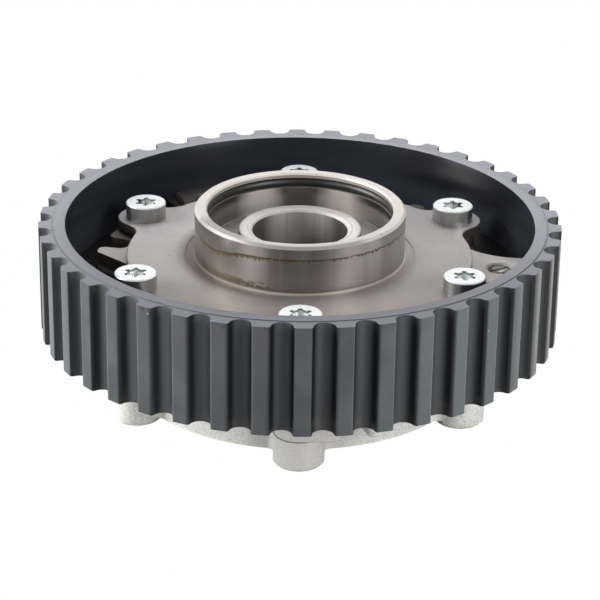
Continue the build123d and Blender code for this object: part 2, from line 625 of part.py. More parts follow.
def leaf_spring(seat_radius, crown_radius, angle):
    # The ends stand on the groove's floor at seat_radius, the crown pushes on the seal at crown_radius
    side = math.copysign(1.0, crown_radius - seat_radius)
    foot = seat_radius + side * LEAF_SEAT_GAP
    crown = crown_radius - side * (LEAF_SEAT_GAP + LEAF_THICKNESS)
    step = side * LEAF_THICKNESS
    low = ROTOR_BOTTOM + SEAL_END_GAP + LEAF_END_GAP
    high = ROTOR_TOP - SEAL_END_GAP - LEAF_END_GAP
    middle = (low + high) / 2
    profile = make_face(
        [
            ThreePointArc((foot, low), (crown, middle), (foot, high)),
            Line((foot, high), (foot + step, high)),
            ThreePointArc((foot + step, high), (crown + step, middle), (foot + step, low)),
            Line((foot + step, low), (foot, low)),
        ]
    )
    strip = extrude(Plane.XZ * profile, LEAF_WIDTH / 2, both=True)
    return Rot(0, 0, angle) * strip


VANE_SEAL_OUTER = CHAMBER_RADIUS - SEAL_RUNNING_GAP
SHOE_SEAL_INNER = ROTOR_HUB_RADIUS + SEAL_RUNNING_GAP


def vane_seal(index):
    return seal_block(VANE_SEAL_OUTER - SEAL_HEIGHT, vane_seal_angle(index))


def vane_seal_spring(index):
    floor = VANE_TIP_RADIUS - SEAL_GROOVE_DEPTH
    return leaf_spring(floor, VANE_SEAL_OUTER - SEAL_HEIGHT, vane_seal_angle(index))


def shoe_seal(index):
    return seal_block(SHOE_SEAL_INNER, SHOE_ANGLES[index])


def shoe_seal_spring(index):
    floor = SHOE_TIP_RADIUS + SEAL_GROOVE_DEPTH
    return leaf_spring(floor, SHOE_SEAL_INNER + SEAL_HEIGHT, SHOE_ANGLES[index])


# Lock pin, its bore in the wide vane, its spring, seat and insert

PIN_PLACE = Pos(*polar(PIN_CIRCLE_RADIUS, VANE_REST))


def pin_bore():
    nose = PIN_NOSE_RADIUS + PIN_BORE_GAP
    head = PIN_HEAD_RADIUS + PIN_BORE_GAP
    shoulder = PIN_SHOULDER - PIN_SHOULDER_GAP
    return PIN_PLACE * turned(
        (0, ROTOR_BOTTOM),
        (nose, ROTOR_BOTTOM),
        (nose, shoulder),
        (head, shoulder),
        (head, ROTOR_TOP),
        (0, ROTOR_TOP),
    )


def lock_pin():
    return PIN_PLACE * turned(
        (0, PIN_TIP),
        (PIN_NOSE_RADIUS - PIN_NOSE_CHAMFER, PIN_TIP),
        (PIN_NOSE_RADIUS, PIN_TIP + PIN_NOSE_CHAMFER),
        (PIN_NOSE_RADIUS, PIN_SHOULDER),
        (PIN_HEAD_RADIUS, PIN_SHOULDER),
        (PIN_HEAD_RADIUS, PIN_TOP),
        (PIN_HOLLOW_RADIUS, PIN_TOP),
        (PIN_HOLLOW_RADIUS, PIN_HOLLOW_FLOOR),
        (0, PIN_HOLLOW_FLOOR),
    )


def lock_pin_spring():
    bottom = PIN_HOLLOW_FLOOR + SPRING_WIRE_RADIUS
    height = SEAT_BOTTOM - SPRING_WIRE_RADIUS - bottom
    path = Helix(pitch=height / SPRING_TURNS, height=height, radius=SPRING_MEAN_RADIUS)
    section = Plane(origin=path @ 0, z_dir=path % 0) * Circle(SPRING_WIRE_RADIUS)
    return PIN_PLACE * Pos(0, 0, bottom) * sweep(section, path)


def spring_seat():
    head = PIN_HEAD_RADIUS + PIN_BORE_GAP
    return PIN_PLACE * slab(Circle(head) - Circle(SEAT_VENT_RADIUS), SEAT_BOTTOM, ROTOR_TOP)


def insert_outline(gap):
    arc = CenterArc((0, 0), PIN_CIRCLE_RADIUS, VANE_REST, WORKING_ANGLE)
    return SlotArc(arc, 2 * (PIN_NOSE_RADIUS + LOCK_SIDE_GAP + INSERT_SIDE_WALL + gap))


def lock_insert():
    body = slab(insert_outline(0), STATOR_BOTTOM - INSERT_THICKNESS, STATOR_BOTTOM)
    step_angle = WORKING_ANGLE / LOCK_STEPS
    for step in range(LOCK_STEPS):
        floor = PIN_TIP + PIN_STROKE * step / LOCK_STEPS - LOCK_FLOOR_GAP
        arc = CenterArc((0, 0), PIN_CIRCLE_RADIUS, VANE_REST + step * step_angle, step_angle)
        body -= slab(SlotArc(arc, 2 * (PIN_NOSE_RADIUS + LOCK_SIDE_GAP)), floor, STATOR_BOTTOM)
    return body


# Everything is written to one STEP file per piece

PIECES = {
    "belt_pulley": belt_pulley,
    "stator": stator,
    "rear_cover": rear_cover,
    "front_cover": front_cover,
    "rotor": rotor,
    "collar_o_ring": collar_o_ring,
    "centre_plug": centre_plug,
    "plug_seal_ring": plug_seal_ring,
    "cover_screws": cover_screws,
    "pulley_screws": pulley_screws,
    "stator_dowels": stator_dowels,
    "lock_pin": lock_pin,
    "lock_pin_spring": lock_pin_spring,
    "spring_seat": spring_seat,
    "lock_insert": lock_insert,
    "front_seal_ring": lambda: slab(seal_ring_sketch(0), STATOR_BOTTOM, STATOR_BOTTOM + FACE_SEAL_HEIGHT),
    "rear_seal_ring": lambda: slab(seal_ring_sketch(0), STATOR_TOP - FACE_SEAL_HEIGHT, STATOR_TOP),
}

os.makedirs("parts", exist_ok=True)
for node, make in PIECES.items():
    export(make(), node)
for index in range(CHAMBER_COUNT):
    export(vane_seal(index), f"vane_seal_{index + 1}")
    export(vane_seal_spring(index), f"vane_seal_spring_{index + 1}")
    export(shoe_seal(index), f"shoe_seal_{index + 1}")
    export(shoe_seal_spring(index), f"shoe_seal_spring_{index + 1}")
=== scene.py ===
import bpy
import json
import math
from mathutils import Matrix, Vector


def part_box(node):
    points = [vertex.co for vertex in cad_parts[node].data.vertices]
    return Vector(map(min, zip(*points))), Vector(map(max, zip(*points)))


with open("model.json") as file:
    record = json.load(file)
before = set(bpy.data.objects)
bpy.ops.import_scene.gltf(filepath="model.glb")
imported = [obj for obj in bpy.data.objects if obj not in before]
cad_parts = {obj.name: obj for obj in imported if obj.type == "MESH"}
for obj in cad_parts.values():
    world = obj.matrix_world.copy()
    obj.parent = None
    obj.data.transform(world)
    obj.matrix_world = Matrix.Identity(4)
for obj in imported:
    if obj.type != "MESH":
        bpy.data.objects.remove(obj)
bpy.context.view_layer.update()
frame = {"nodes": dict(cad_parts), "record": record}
nodes = frame["nodes"]

MM = 0.001

# Heights of the CAD model in millimetres, for placing colours, wear and stains
COVER_THICKNESS = 2.2
RELIEF_DEPTH = 0.25
WEB_BELOW_STATOR = 5.4
PAD_HEIGHT = 3.25
PULLEY_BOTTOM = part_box("belt_pulley")[0].z / MM
PULLEY_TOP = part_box("belt_pulley")[1].z / MM
STATOR_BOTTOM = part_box("stator")[0].z / MM
STATOR_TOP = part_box("stator")[1].z / MM
SCREW_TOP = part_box("cover_screws")[1].z / MM
O_RING_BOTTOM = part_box("collar_o_ring")[0].z / MM
COLLAR_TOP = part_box("rear_cover")[1].z / MM
PLATE_TOP = STATOR_TOP + COVER_THICKNESS
RELIEF_FLOOR = PLATE_TOP - RELIEF_DEPTH
WEB_TOP = STATOR_TOP - WEB_BELOW_STATOR
PAD_TOP = WEB_TOP + PAD_HEIGHT

# Its radii, from the teeth to the rotor's bore, and the width of a tooth's flat land
TIP_RADIUS = 62.98
GROOVE_FLOOR_RADIUS = 59.86
RIM_STEP_RADIUS = 59.55
RIM_BORE_RADIUS = 56.6
PULLEY_SCREW_CIRCLE_RADIUS = 48.95
SCREW_CIRCLE_RADIUS = 44.5
RELIEF_RADIUS = 27.9
COLLAR_RADIUS = 25.5
COLLAR_WALL_RADIUS = 24.3
JOURNAL_RADIUS = 22.45
HUB_RING_RADIUS = 14.83
ROTOR_BORE_RADIUS = 11.53
LAND_HALF_WIDTH = 1.9

# Its teeth, screws and lobes, with the angle of one of each in degrees, and the angle of a lobe screw's slot
TOOTH_COUNT = 42
TOOTH_PHASE = 90.5
SCREW_COUNT = 6
SCREW_FIRST_ANGLE = 30.0
LOBE_COUNT = 3
LOBE_ANGLE = -1.4
SLOT_ANGLE = 55.0

# Angles of the side that the photograph shows and of the side behind
FRONT = -90.0
BACK = 90.0

# Height of the line that the oil seal wore round the collar
WORN_LINE_HEIGHT = COLLAR_TOP - 3.5

# Marks on the teeth: strength and colour, then the angle, height, reach and raggedness of each spot
TOOTH_MARKS = (
    (0.55, (64, 48, 46), ((-124.0, 41.6, 0.9, 0.4), (-122.3, 42.0, 0.7, 0.4))),
    (0.6, (160, 157, 152), ((-47.7, 34.5, 0.3, 0.1), (-122.6, 40.9, 0.3, 0.1))),
    (0.6, (58, 56, 58), ((-105.6, 41.4, 0.7, 0.4), (-97.2, 41.9, 0.5, 0.4))),
)

# Camera, fitted to the photograph
CAMERA_LENS = 142.35
CAMERA_SENSOR = 36.0
CAMERA_AIM = (0.246, 0.0, 20.80)
CAMERA_DISTANCE = 582.2
CAMERA_AZIMUTH = -90.54
CAMERA_ELEVATION = 24.145
CAMERA_ROLL = 0.81


def srgb(r, g, b):
    def channel(c):
        c /= 255
        return c / 12.92 if c <= 0.04045 else ((c + 0.055) / 1.055) ** 2.4

    return (channel(r), channel(g), channel(b), 1.0)


class Graph:
    """The node tree of one material, with short calls for its nodes. Lengths are in millimetres.

    A mask is a value that is 1 where something shows and 0 elsewhere.
    """

    def __init__(self, name, metallic=0.0, roughness=0.5):
        self.material = bpy.data.materials.new(name)
        self.material.use_nodes = True
        self.tree = self.material.node_tree
        self.shader = self.tree.nodes["Principled BSDF"]
        self.shader.inputs["Metallic"].default_value = metallic
        self.shader.inputs["Roughness"].default_value = roughness
        coordinates = self.add("ShaderNodeTexCoord")
        scaled = self.add("ShaderNodeVectorMath", operation="SCALE")
        self.join(coordinates.outputs["Object"], scaled.inputs[0])
        scaled.inputs["Scale"].default_value = 1 / MM
        self.place = scaled.outputs[0]
        parts = self.add("ShaderNodeSeparateXYZ")
        self.join(self.place, parts.inputs[0])
        self.x, self.y, self.z = parts.outputs
        self.radius = self.diagonal(self.x, self.y)
        self.angle = self.math("DEGREES", self.math("ARCTAN2", self.y, self.x))
        normal = self.add("ShaderNodeSeparateXYZ")
        self.join(coordinates.outputs["Normal"], normal.inputs[0])
        self.up = normal.outputs[2]

    def add(self, kind, **settings):
        node = self.tree.nodes.new(kind)
        for key, value in settings.items():
            setattr(node, key, value)
        return node

    def join(self, value, socket):
        """Links a value from another node to the socket, or sets the socket to a plain value."""
        if isinstance(value, bpy.types.NodeSocket):
            self.tree.links.new(value, socket)
        else:
            socket.default_value = value

    def math(self, operation, a, b=0.0, c=0.0):
        node = self.add("ShaderNodeMath", operation=operation)
        for value, socket in zip((a, b, c), node.inputs):
            self.join(value, socket)
        return node.outputs[0]

    def diagonal(self, a, b):
        return self.math("SQRT", self.math("ADD", self.math("POWER", a, 2.0), self.math("POWER", b, 2.0)))

    def step(self, value, low, high):
        """0 below low and 1 above high, smooth between them; falls instead if low is above high."""
        node = self.add("ShaderNodeMapRange", interpolation_type="SMOOTHSTEP")
        rising = low < high
        self.join(value, node.inputs["Value"])
        self.join(min(low, high), node.inputs["From Min"])
        self.join(max(low, high), node.inputs["From Max"])
        self.join(0.0 if rising else 1.0, node.inputs["To Min"])
        self.join(1.0 if rising else 0.0, node.inputs["To Max"])
        return node.outputs["Result"]

    def band(self, value, low, high, soft):
        """1 from low to high, falling to 0 within soft outside them."""
        return self.all_of(self.step(value, low - soft, low), self.step(value, high + soft, high))

    def line(self, value, centre, width):
        """1 where value is centre, falling to 0 within width on both sides."""
        distance = self.math("ABSOLUTE", self.math("SUBTRACT", value, centre))
        return self.step(distance, width, 0.0)

    def all_of(self, *masks):
        result = masks[0]
        for mask in masks[1:]:
            result = self.math("MULTIPLY", result, mask)
        return result

    def any_of(self, *masks):
        result = masks[0]
        for mask in masks[1:]:
            result = self.math("MAXIMUM", result, mask)
        return result

    def turn_from(self, degrees, streaks=0.0, wobble=0.0):
        """Degrees round the axis from an angle, made uneven by streaks as far as wobble says."""
        turn = self.math("ABSOLUTE", self.math("SUBTRACT", self.angle, degrees))
        return self.math("MULTIPLY_ADD", streaks, wobble, turn)

    def off_nearest(self, first, count):
        """Degrees from the nearest of some angles, spaced evenly round the axis from the first."""
        pitch = 360.0 / count
        turned = self.math("ADD", self.angle, 720.0 + pitch / 2 - first)
        return self.math("SUBTRACT", self.math("MODULO", turned, pitch), pitch / 2)

    def off_axis(self, circle, first, count):
        """Distance from the nearest of some upright axes, evenly spaced on a circle from the first angle."""
        turn = self.math("RADIANS", self.off_nearest(first, count))
        across = self.math("MULTIPLY", self.radius, self.math("SINE", turn))
        along = self.math("MULTIPLY", self.radius, self.math("COSINE", turn))
        return self.diagonal(across, self.math("SUBTRACT", along, circle))

    def spot(self, radius, degrees, z, reach, ragged):
        """1 within reach of a point given by its radius, angle and height, with a ragged border."""
        x = radius * math.cos(math.radians(degrees))
        y = radius * math.sin(math.radians(degrees))
        offset = self.add("ShaderNodeVectorMath", operation="DISTANCE")
        self.join(self.place, offset.inputs[0])
        offset.inputs[1].default_value = (x, y, z)
        rough = self.math("MULTIPLY_ADD", self.noise(1.7, 3.0), ragged * 2, -ragged)
        distance = self.math("ADD", offset.outputs["Value"], rough)
        return self.step(distance, reach, reach * 0.6)

    def mix(self, factor, a, b):
        """Colour a where the factor is 0 and colour b where it is 1."""
        node = self.add("ShaderNodeMix", data_type="RGBA")
        self.join(factor, node.inputs[0])
        self.join(a, node.inputs[6])
        self.join(b, node.inputs[7])
        return node.outputs[2]

    def paint(self, colour, mask, target, strength=1.0):
        """The colour, turned to the target colour where the mask is 1, as far as strength says."""
        return self.mix(self.math("MULTIPLY", mask, strength), colour, target)

    def mix_number(self, factor, a, b):
        node = self.add("ShaderNodeMix", data_type="FLOAT")
        self.join(factor, node.inputs[0])
        self.join(a, node.inputs[2])
        self.join(b, node.inputs[3])
        return node.outputs[0]

    def vector(self, x, y, z):
        node = self.add("ShaderNodeCombineXYZ")
        for value, socket in zip((x, y, z), node.inputs):
            self.join(value, socket)
        return node.outputs[0]

    def noise(self, scale, detail=3.0, vector=None, roughness=0.5):
        node = self.add("ShaderNodeTexNoise")
        self.join(self.place if vector is None else vector, node.inputs["Vector"])
        node.inputs["Scale"].default_value = scale
        node.inputs["Detail"].default_value = detail
        node.inputs["Roughness"].default_value = roughness
        return node.outputs["Fac"]

    def round_vector(self, along, across):
        """Coordinates for noise, scaled by along round the axis and by across in height."""
        turn = self.math("RADIANS", self.angle)
        ring_x = self.math("MULTIPLY", self.math("COSINE", turn), along)
        ring_y = self.math("MULTIPLY", self.math("SINE", turn), along)
        return self.vector(ring_x, ring_y, self.math("MULTIPLY", self.z, across))

    def colour(self, value):
        self.join(value, self.shader.inputs["Base Color"])

    def metallic(self, value):
        self.join(value, self.shader.inputs["Metallic"])

    def roughness(self, value):
        self.join(value, self.shader.inputs["Roughness"])

    def bump(self, height, strength, distance_mm):
        node = self.add("ShaderNodeBump")
        node.inputs["Strength"].default_value = strength
        node.inputs["Distance"].default_value = distance_mm * MM
        self.join(height, node.inputs["Height"])
        self.join(node.outputs[0], self.shader.inputs["Normal"])


# Belt pulley

def off_tooth(g):
    """Distance along the tips from the nearest tooth's middle, above 0 on its side nearer the front."""
    along = g.math("MULTIPLY", g.math("RADIANS", g.off_nearest(TOOTH_PHASE, TOOTH_COUNT)), TIP_RADIUS)
    return g.math("MULTIPLY", along, g.mix_number(g.step(g.x, -6.0, 6.0), 1.0, -1.0))


def land_colour(g):
    """The teeth's lands: slate with painted light at the right and the far left and painted shade at the far
    right, worn at the front left.
    """
    slate = g.mix(g.step(g.noise(0.09, 3.0), 0.35, 0.7), srgb(70, 74, 77), srgb(82, 86, 88))
    # Painted light on the lands at the right and the far left
    right = g.all_of(g.step(g.x, 15.0, 40.0), g.step(g.x, 58.0, 52.0))
    far_left = g.step(g.x, -50.0, -58.0)
    slate = g.paint(slate, g.any_of(right, far_left), srgb(96, 101, 104))
    # Painted shade on the lands at the far right
    far_right = g.step(g.x, 54.0, 60.0)
    slate = g.paint(slate, far_right, srgb(72, 74, 75))
    high = g.step(g.z, PULLEY_BOTTOM + 6.0, PULLEY_TOP - 8.0)
    worn = g.all_of(g.band(g.angle, -130.0, -97.0, 4.0), high)
    return g.paint(slate, worn, srgb(88, 82, 84), 0.3)


def groove_colour(g, aside, frontward):
    """Grooves with painted shade on the flanks: both in the middle, and at the sides only that on a tooth's
    front side; painted light on the floor at the left.
    """
    off_middle = g.math("ABSOLUTE", g.x)
    floor = g.mix(g.step(g.z, PULLEY_BOTTOM, PULLEY_TOP), srgb(66, 68, 70), srgb(67, 72, 74))
    # Painted light on the groove floors at the left
    left = g.step(g.x, -12.0, -36.0)
    floor = g.paint(floor, left, srgb(99, 102, 104))
    # Painted shade on the flanks, lighter away from the middle and lightest far aside
    flank = g.mix(aside, srgb(22, 23, 25), srgb(46, 48, 50))
    lit_far_flank = g.step(off_middle, 46.0, 57.0)
    flank = g.paint(flank, lit_far_flank, srgb(78, 80, 82))
    off_floor = g.step(g.radius, GROOVE_FLOOR_RADIUS + 0.2, GROOVE_FLOOR_RADIUS + 1.4)
    shaded = g.mix_number(g.step(off_middle, 8.0, 20.0), 1.0, g.step(frontward, -1.0, 1.0))
    return g.paint(floor, g.all_of(off_floor, shaded), flank)


def tooth_colour(g):
    """Lands and grooves, with a painted highlight and painted shade on the corners between them, and a
    painted glint on the lands at the far right.
    """
    aside = g.step(g.math("ABSOLUTE", g.x), 15.0, 45.0)
    frontward = off_tooth(g)
    in_groove = g.step(g.radius, TIP_RADIUS - 0.05, TIP_RADIUS - 0.35)
    on_land = g.step(g.radius, TIP_RADIUS - 0.35, TIP_RADIUS - 0.2)
    colour = g.mix(in_groove, land_colour(g), groove_colour(g, aside, frontward))
    low = g.step(g.z, PULLEY_BOTTOM + 7.0, PULLEY_BOTTOM + 0.5)
    dusty = g.all_of(low, g.step(g.noise(0.35, 3.0), 0.5, 0.62), in_groove)
    colour = g.paint(colour, dusty, srgb(92, 84, 72), 0.3)
    # Painted highlight along the lands' corners
    corner_highlight = g.all_of(g.line(frontward, 0.12 - LAND_HALF_WIDTH, 0.28), on_land)
    colour = g.paint(colour, corner_highlight, srgb(146, 150, 153), g.mix_number(aside, 0.15, 0.35))
    # Painted glint on the lands at the far right
    far_right = g.all_of(g.step(g.x, 46.0, 58.0), g.step(g.y, 12.0, -8.0))
    glint = g.all_of(far_right, g.step(frontward, 0.9, -0.6), on_land)
    colour = g.paint(colour, glint, srgb(140, 139, 135))
    # Painted shade on each tooth's corner on its front side
    below_land = g.step(g.radius, TIP_RADIUS - 0.8, TIP_RADIUS - 0.4)
    corner_shade = g.all_of(g.step(frontward, 1.15, 1.75), below_land)
    return g.paint(colour, corner_shade, srgb(36, 38, 40), g.mix_number(aside, 0.5, 0.85))


def rim_colour(g):
    """The rim's turned top: fine rings, painted shade at the front, and a painted shade line at its step."""
    rings = g.math("SINE", g.math("MULTIPLY", g.radius, 22.0))
    rim = g.mix(g.math("MULTIPLY_ADD", rings, 0.15, 0.5), srgb(120, 120, 128), srgb(144, 144, 152))
    # Painted shade on the rim's front
    front = g.step(g.y, 10.0, -56.0)
    rim = g.paint(rim, front, srgb(102, 102, 110))
    blotches = g.step(g.noise(0.5, 5.0), 0.62, 0.72)
    rim = g.paint(rim, blotches, srgb(112, 112, 120))
    # Painted shade line along the step, strongest at the front
    step_shade = g.line(g.radius, RIM_STEP_RADIUS + 0.05, 0.32)
    return g.paint(rim, step_shade, srgb(84, 84, 92), g.mix_number(g.step(g.y, 20.0, -50.0), 0.3, 0.85))


def inner_wall_colour(g):
    """The rim's dark inner wall with painted shade, darker high up and darkest at the back right; the web
    and the pads on it painted near black as shade, the pads dark grey up to the middle.
    """
    level = g.step(g.up, 0.5, 0.8)
    # Painted shade on the wall: darker high up, darkest high at the back right
    high = g.step(g.z, PULLEY_TOP - 12.0, PULLEY_TOP - 4.0)
    wall = g.mix(high, srgb(43, 45, 54), srgb(27, 29, 36))
    back_right = g.all_of(g.step(g.x, 16.0, 38.0), g.step(g.y, 4.0, 30.0))
    upper = g.step(g.z, PULLEY_TOP - 13.0, PULLEY_TOP - 6.0)
    wall = g.paint(wall, g.all_of(back_right, upper), srgb(11, 12, 16))
    # The web painted near black as shade
    wall = g.paint(wall, level, srgb(4, 4, 4))
    # The pads painted as shade: dark grey up to the middle, near black at the right
    on_pad = g.all_of(g.step(g.z, PAD_TOP - 0.2, PAD_TOP - 0.05), level)
    pad = g.mix(g.step(g.x, 10.0, 20.0), srgb(50, 47, 45), srgb(9, 9, 9))
    return g.paint(wall, on_pad, pad)


def pulley_material():
    g = Graph("pulley_slate", metallic=0.35, roughness=0.45)
    g.shader.inputs["Specular IOR Level"].default_value = 0.25
    grain = g.noise(2.4, 4.0)
    inside = g.step(g.radius, RIM_BORE_RADIUS + 0.05, RIM_BORE_RADIUS + 0.01)
    colour = g.paint(tooth_colour(g), g.step(g.up, 0.5, 0.7), rim_colour(g))
    colour = g.paint(colour, inside, inner_wall_colour(g))
    for strength, tint, spots in TOOTH_MARKS:
        mark = g.any_of(*(g.spot(TIP_RADIUS, *spot) for spot in spots))
        colour = g.paint(colour, mark, srgb(*tint), strength)
    g.colour(colour)
    g.roughness(g.mix_number(inside, g.math("MULTIPLY_ADD", grain, 0.12, 0.40), 0.24))
    g.metallic(g.mix_number(inside, 0.35, 0.0))
    g.bump(grain, 0.18, 0.05)
    return g.material


# Rear cover with its collar

def plate_colour(g, front, left):
    """The plate: pale at the back, browner at the front, worn round the collar's foot, with painted light on
    the relief's wall and a painted highlight round the collar's foot.
    """
    back_right = g.all_of(g.step(g.x, 5.0, 30.0), g.step(g.y, 0.0, 25.0))
    plate = g.mix(back_right, srgb(172, 170, 171), srgb(150, 147, 150))
    plate = g.paint(plate, front, srgb(123, 114, 110))
    clouds = g.step(g.noise(0.07, 4.0), 0.35, 0.75)
    plate = g.paint(plate, clouds, srgb(156, 148, 142), 0.5)
    blotches = g.step(g.noise(0.9, 5.0), 0.5, 0.75)
    plate = g.paint(plate, blotches, srgb(118, 110, 104), 0.25)
    worn_ring = g.step(g.radius, RELIEF_RADIUS + 3.1, RELIEF_RADIUS - 0.9)
    plate = g.paint(plate, worn_ring, srgb(100, 90, 84), g.mix_number(left, 0.25, 0.85))
    # Painted light on the relief's wall
    at_relief = g.band(g.radius, RELIEF_RADIUS - 0.9, RELIEF_RADIUS + 1.1, 0.3)
    relief_wall_light = g.all_of(g.step(g.up, 0.6, 0.3), at_relief)
    plate = g.paint(plate, relief_wall_light, srgb(238, 229, 221))
    # Painted highlight round the collar's foot, stronger at the right
    foot_highlight = g.line(g.radius, COLLAR_RADIUS + 0.1, 0.3)
    plate = g.paint(plate, foot_highlight, srgb(206, 196, 186), g.mix_number(left, 0.6, 0.2))
    past_relief = g.step(g.radius, RELIEF_RADIUS + 2.1, RELIEF_RADIUS + 3.1)
    edge_face = g.all_of(g.step(g.up, 0.5, 0.2), past_relief)
    return g.paint(plate, edge_face, srgb(108, 100, 94))


def turned_outside_colour(g, streaks, off_front):
    """The collar's outside as it was turned, with streaks and with painted bands of shine and shade round
    it.
    """
    outside = g.mix(g.step(streaks, 0.2, 0.8), srgb(108, 100, 96), srgb(132, 125, 121))
    turned = g.noise(1.0, 2.0, g.vector(0.0, 0.0, g.math("MULTIPLY", g.z, 5.0)))
    outside = g.paint(outside, g.step(turned, 0.45, 0.7), srgb(96, 89, 85), 0.25)
    # Painted shade at the front, painted reflections of shine to both sides of it and at the right, a
    # painted glint, and painted shade at the left
    front_shade = g.step(off_front, 20.0, 10.0)
    outside = g.paint(outside, front_shade, srgb(88, 82, 79), 0.35)
    shine = g.all_of(g.step(off_front, 18.0, 31.0), g.step(off_front, 54.0, 34.0))
    outside = g.paint(outside, shine, srgb(188, 180, 176), 0.85)
    right_shine = g.band(g.angle, -42.0, 10.0, 14.0)
    outside = g.paint(outside, right_shine, srgb(172, 164, 159), 0.5)
    glint = g.band(g.angle, -49.0, -44.0, 5.0)
    outside = g.paint(outside, glint, srgb(196, 188, 184), 0.5)
    left_shade = g.band(g.angle, -180.0, -128.0, 12.0)
    return g.paint(outside, left_shade, srgb(92, 84, 78), 0.55)


def worn_line(g, colour):
    """The colour with a ragged brown line round the collar, lower and thicker at the left."""
    dip = g.math("MULTIPLY", g.line(g.angle, -145.0, 28.0), 1.6)
    wobble = g.math("MULTIPLY_ADD", g.noise(1.0, 3.0, g.round_vector(10.0, 0.0)), 0.7, WORN_LINE_HEIGHT)
    below = g.math("SUBTRACT", g.math("SUBTRACT", wobble, dip), g.z)
    thicker = g.math("MULTIPLY", g.band(g.angle, -165.0, -118.0, 14.0), 0.45)
    drips = g.math("MULTIPLY", g.step(g.noise(1.0, 4.0, g.round_vector(50.0, 0.0), 0.7), 0.35, 0.68), 0.8)
    past_drips = g.math("SUBTRACT", below, g.math("ADD", thicker, drips))
    wear = g.all_of(g.step(below, -0.12, -0.02), g.step(past_drips, 0.06, -0.06))
    brown = g.mix(g.step(below, -0.05, 0.3), srgb(52, 37, 16), srgb(98, 80, 42))
    return g.paint(colour, wear, brown, 0.85)


def collar_stains(g, colour):
    """The colour with a stain low on the collar at the front left, and specks below its top edge."""
    low = g.band(g.z, PLATE_TOP + 0.95, PLATE_TOP + 1.95, 0.6)
    blotches = g.step(g.noise(0.45, 5.0, g.round_vector(26.0, 1.6), 0.65), 0.43, 0.5)
    stain = g.all_of(g.band(g.angle, -150.0, -108.0, 5.0), low, blotches)
    colour = g.paint(colour, stain, srgb(92, 80, 46), 0.9)
    below_edge = g.step(g.z, COLLAR_TOP - 1.35, COLLAR_TOP - 2.35)
    specks = g.all_of(g.step(g.noise(2.6, 2.0), 0.68, 0.73), below_edge)
    return g.paint(colour, specks, srgb(82, 66, 48), 0.55)


def collar_outside_colour(g, streaks, off_front, left):
    """The collar's outside with its wear, a paler lower half at the front, and a painted shade line and a
    painted highlight at its foot.
    """
    outside = turned_outside_colour(g, streaks, off_front)
    outside = collar_stains(g, worn_line(g, outside))
    low = g.step(g.z, COLLAR_TOP - 4.35, PLATE_TOP + 2.45)
    low_front = g.all_of(low, g.step(off_front, 70.0, 50.0))
    outside = g.paint(outside, low_front, srgb(146, 138, 133), 0.3)
    # A painted shade line and, below it, a painted highlight at the collar's foot, the highlight stronger at
    # the right
    foot_shade_line = g.line(g.z, PLATE_TOP + 0.7, 0.35)
    outside = g.paint(outside, foot_shade_line, srgb(88, 80, 74), 0.3)
    foot_glint = g.line(g.z, PLATE_TOP + 0.05, 0.4)
    return g.paint(outside, foot_glint, srgb(230, 220, 210), g.mix_number(left, 0.9, 0.3))


def collar_top_colour(g, off_front, front):
    """The collar's turned top, with painted shade at the front, along its outer edge at the front and at the
    left.
    """
    # Painted shade at the front, along the outer edge at the front and at the left
    top = g.mix(front, srgb(202, 196, 192), srgb(180, 173, 168))
    outer = g.step(g.radius, COLLAR_WALL_RADIUS, COLLAR_WALL_RADIUS + 0.3)
    outer_front_shade = g.all_of(g.step(off_front, 46.0, 32.0), outer)
    top = g.paint(top, outer_front_shade, srgb(136, 131, 128), 0.8)
    left_shade = g.band(g.angle, -156.0, -128.0, 12.0)
    top = g.paint(top, left_shade, srgb(146, 140, 137), 0.8)
    specks = g.step(g.noise(1.6, 2.0), 0.68, 0.74)
    return g.paint(top, specks, srgb(128, 106, 94))


def collar_bore_colour(g, streaks):
    """The collar's bore in painted light and shade: dark near the O-ring and at the right, paler below it
    and at the mouth, with two painted bands of shine at the back.
    """
    off_back = g.turn_from(BACK, streaks, 6.0)
    brushed = g.step(g.noise(1.0, 3.0, g.round_vector(4.0, 0.02)), 0.35, 0.65)
    bore = g.mix(brushed, srgb(122, 115, 112), srgb(172, 166, 163))
    # Painted shade near the O-ring on the sides and the back, paler below it
    low = g.step(g.z, O_RING_BOTTOM - 0.7, O_RING_BOTTOM - 2.5)
    sides = g.step(off_back, 110.0, 80.0)
    bore = g.paint(bore, sides, g.mix(low, srgb(58, 54, 52), srgb(116, 109, 106)))
    back = g.step(off_back, 64.0, 48.0)
    bore = g.paint(bore, back, g.mix(low, srgb(60, 55, 53), srgb(126, 119, 115)))
    # Painted reflections: two bands of shine at the back, parted by painted shade in the middle
    shine = g.all_of(g.step(off_back, 10.0, 26.0), g.step(off_back, 50.0, 32.0))
    bore = g.paint(bore, shine, srgb(216, 208, 202))
    middle = g.step(off_back, 16.0, 8.0)
    bore = g.paint(bore, middle, srgb(100, 93, 90))
    # Painted shade at the right near the O-ring
    right_shade = g.all_of(g.band(g.angle, 0.0, 36.0, 8.0), g.step(low, 1.0, 0.0))
    bore = g.paint(bore, right_shade, srgb(38, 35, 34))
    # Painted light at the mouth
    mouth = g.step(g.z, COLLAR_TOP - 1.3, COLLAR_TOP - 1.1)
    return g.paint(bore, mouth, srgb(170, 162, 155))


